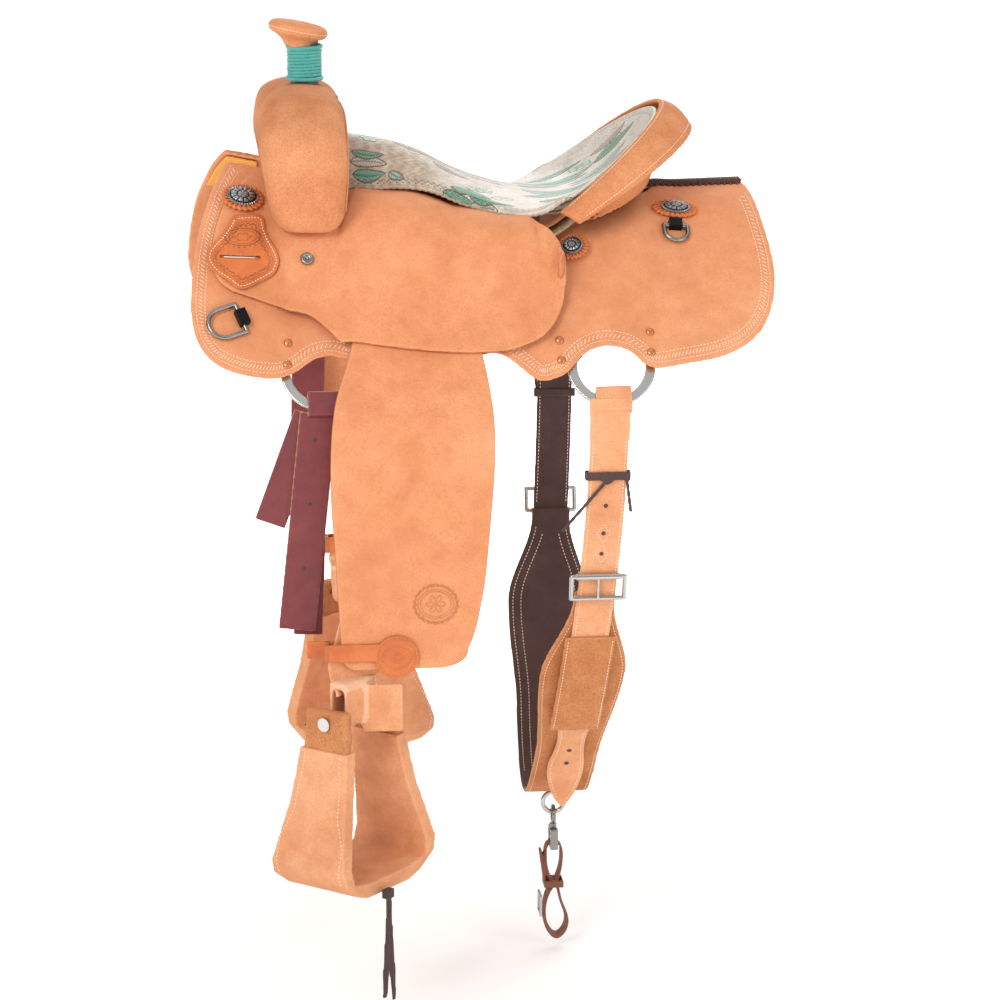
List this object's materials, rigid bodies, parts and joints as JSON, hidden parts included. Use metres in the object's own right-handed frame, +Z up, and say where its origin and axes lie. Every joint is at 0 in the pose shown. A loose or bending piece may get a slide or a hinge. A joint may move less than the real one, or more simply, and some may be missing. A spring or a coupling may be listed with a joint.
{
  "type": "western saddle",
  "caption": "Western roping saddle with roughout leather skirts and jockeys, tooled seat, wrapped horn, swinging fenders with turning stirrups, latigo and a rear flank cinch.",
  "frame": {"origin": "underside of the strainer plate under the seat, on the middle plane of the saddle", "axes": "+Z up, -X towards the horse head (horn end), +X towards the cantle, -Y the near (left) side"},
  "size_m": [0.7254, 0.8051, 1.2306],
  "materials": {
    "skirting_roughout": "roughout tan leather",
    "russet_leather": "smooth tooled russet leather",
    "burgundy_latigo": "oiled burgundy latigo leather",
    "dark_leather": "smooth dark brown leather",
    "tooled_print_leather": "floral tooled leather, white and green",
    "golden_lining": "smooth golden leather",
    "ground_leather": "skived leather",
    "wool_fleece": "wool pile",
    "seat_foam": "felt and foam",
    "tree_wood": "rawhide covered wood",
    "stainless": "brushed stainless steel",
    "nickel": "dark nickel plate",
    "antique_silver": "engraved antique silver",
    "copper": "copper dome",
    "black_metal": "black",
    "horn_metal": "ductile iron",
    "turquoise_cord": "braided cord"
  },
  "bodies": {
    "saddle": {"skirt_left": "skirting_roughout", "skirt_right": "skirting_roughout", "fleece_linings": "wool_fleece", "front_linings": "golden_lining", "tree_bars": "tree_wood", "seat_jockeys": "skirting_roughout", "seat_cover": "tooled_print_leather", "seat_pad": "seat_foam", "ground_seat": "ground_leather", "strainer_plate": "stainless", "cantle_roll": "skirting_roughout", "cantle_back": "skirting_roughout", "tree_cantle": "tree_wood", "swell_cover": "skirting_roughout", "tree_fork": "tree_wood", "horn": "horn_metal", "horn_cap_cover": "skirting_roughout", "horn_wrap": "turquoise_cord", "rigging_rings": "stainless", "concho_rosettes": "russet_leather", "conchos": "antique_silver", "rigging_rivets": "copper", "rope_strap_ferrules": "nickel", "latigo_keepers": "russet_leather", "dee_clips": "black_metal", "skirt_lacing": "dark_leather"},
    "fender_hang_left": {"fender_top_left": "skirting_roughout"},
    "fender_low_left": {"fender_left": "skirting_roughout", "stirrup_leather_left": "skirting_roughout", "hobble_strap_left": "russet_leather"},
    "stirrup_neck_left": {"stirrup_leather_loop_left": "skirting_roughout"},
    "stirrup_left": {"stirrup_frame_left": "tree_wood", "stirrup_cover_left": "skirting_roughout", "stirrup_bolt_left": "stainless", "stirrup_lace_left": "dark_leather"},
    "breast_dee_left": {"breast_dee_left": "nickel"},
    "rear_dee_left": {"rear_dee_left": "nickel"},
    "fender_hang_right": {"fender_top_right": "skirting_roughout"},
    "fender_low_right": {"fender_right": "skirting_roughout", "stirrup_leather_right": "skirting_roughout", "hobble_strap_right": "russet_leather"},
    "stirrup_neck_right": {"stirrup_leather_loop_right": "skirting_roughout"},
    "stirrup_right": {"stirrup_frame_right": "tree_wood", "stirrup_cover_right": "skirting_roughout", "stirrup_bolt_right": "stainless", "stirrup_lace_right": "dark_leather"},
    "breast_dee_right": {"breast_dee_right": "nickel"},
    "rear_dee_right": {"rear_dee_right": "nickel"},
    "latigo": {"latigo_left": "burgundy_latigo"},
    "off_billet": {"off_billet_right": "burgundy_latigo"},
    "flank_set": {"flank_billets": "skirting_roughout", "flank_cinch": "dark_leather", "flank_buckles": "stainless", "flank_keepers": "skirting_roughout", "flank_billet_ties": "dark_leather", "cinch_dee": "stainless"},
    "snap": {"cinch_snap": "nickel"},
    "connector": {"snap_swivel_eye": "nickel", "connector_strap": "russet_leather", "connector_buckle": "stainless"}
  },
  "joints": [
    {"name": "fender_swing_left", "type": "hinge", "parent": "saddle", "child": "fender_hang_left", "pos_m": [-0.085, -0.17307, -0.05618], "axis": [0, -0.8321, 0.5547], "range_deg": [-8, 20]},
    {"name": "fender_swing_right", "type": "hinge", "parent": "saddle", "child": "fender_hang_right", "pos_m": [-0.085, 0.17307, -0.05618], "axis": [0, -0.8321, -0.5547], "range_deg": [-11.6, 16.4]},
    {"name": "fender_lift_left", "type": "hinge", "parent": "fender_hang_left", "child": "fender_low_left", "pos_m": [-0.085, -0.2544, -0.17818], "axis": [-1, 0, 0], "range_deg": [0, 75]},
    {"name": "fender_lift_right", "type": "hinge", "parent": "fender_hang_right", "child": "fender_low_right", "pos_m": [-0.07579, 0.25424, -0.17794], "axis": [0.998, -0.0348, 0.0522], "range_deg": [0, 75]},
    {"name": "stirrup_turn_left", "type": "hinge", "parent": "fender_low_left", "child": "stirrup_neck_left", "pos_m": [-0.165, -0.292, -0.577], "axis": [0, 0, 1], "range_deg": [-50, 35]},
    {"name": "stirrup_turn_right", "type": "hinge", "parent": "fender_low_right", "child": "stirrup_neck_right", "pos_m": [-0.13349, 0.29424, -0.58036], "axis": [0.0522, -0.0009, -0.9986], "range_deg": [-50, 35]},
    {"name": "stirrup_pivot_left", "type": "hinge", "parent": "stirrup_neck_left", "child": "stirrup_left", "pos_m": [-0.165, -0.292, -0.577], "axis": [0.6428, 0.766, 0], "range_deg": [-40, 40]},
    {"name": "stirrup_pivot_right", "type": "hinge", "parent": "stirrup_neck_right", "child": "stirrup_right", "pos_m": [-0.13349, 0.29424, -0.58036], "axis": [-0.6148, 0.788, -0.0329], "range_deg": [-40, 40]},
    {"name": "latigo_swing", "type": "hinge", "parent": "saddle", "child": "latigo", "pos_m": [-0.192, -0.22613, -0.162], "axis": [0.01, -0.832, 0.5547], "range_deg": [-20, 20]},
    {"name": "off_billet_swing", "type": "hinge", "parent": "saddle", "child": "off_billet", "pos_m": [-0.192, 0.22613, -0.162], "axis": [-0.01, -0.832, -0.5547], "range_deg": [-20, 20]},
    {"name": "flank_cinch_swing", "type": "hinge", "parent": "saddle", "child": "flank_set", "pos_m": [0.159, 0, -0.162], "axis": [0, -1, 0], "range_deg": [-6, 6]},
    {"name": "snap_swing", "type": "hinge", "parent": "flank_set", "child": "snap", "pos_m": [0.115, 0, -0.793], "axis": [0, -1, 0], "range_deg": [-40, 40]},
    {"name": "snap_swivel", "type": "hinge", "parent": "snap", "child": "connector", "pos_m": [0.115, 0, -0.8395], "axis": [0, 0, 1], "continuous": true},
    {"name": "breast_dee_hinge_left", "type": "hinge", "parent": "saddle", "child": "breast_dee_left", "pos_m": [-0.29215, -0.2128, -0.097], "axis": [0.3687, -0.4735, -0.7999], "range_deg": [-110, 0]},
    {"name": "breast_dee_hinge_right", "type": "hinge", "parent": "saddle", "child": "breast_dee_right", "pos_m": [-0.29215, 0.2128, -0.097], "axis": [-0.3687, -0.4735, 0.7999], "range_deg": [-110, 0]},
    {"name": "rear_dee_hinge_left", "type": "hinge", "parent": "saddle", "child": "rear_dee_left", "pos_m": [0.25305, -0.11503, -0.006], "axis": [0.9949, 0.065, -0.0772], "range_deg": [-110, 0]},
    {"name": "rear_dee_hinge_right", "type": "hinge", "parent": "saddle", "child": "rear_dee_right", "pos_m": [0.25305, 0.11503, -0.006], "axis": [-0.9949, 0.065, 0.0772], "range_deg": [-110, 0]}
  ]
}
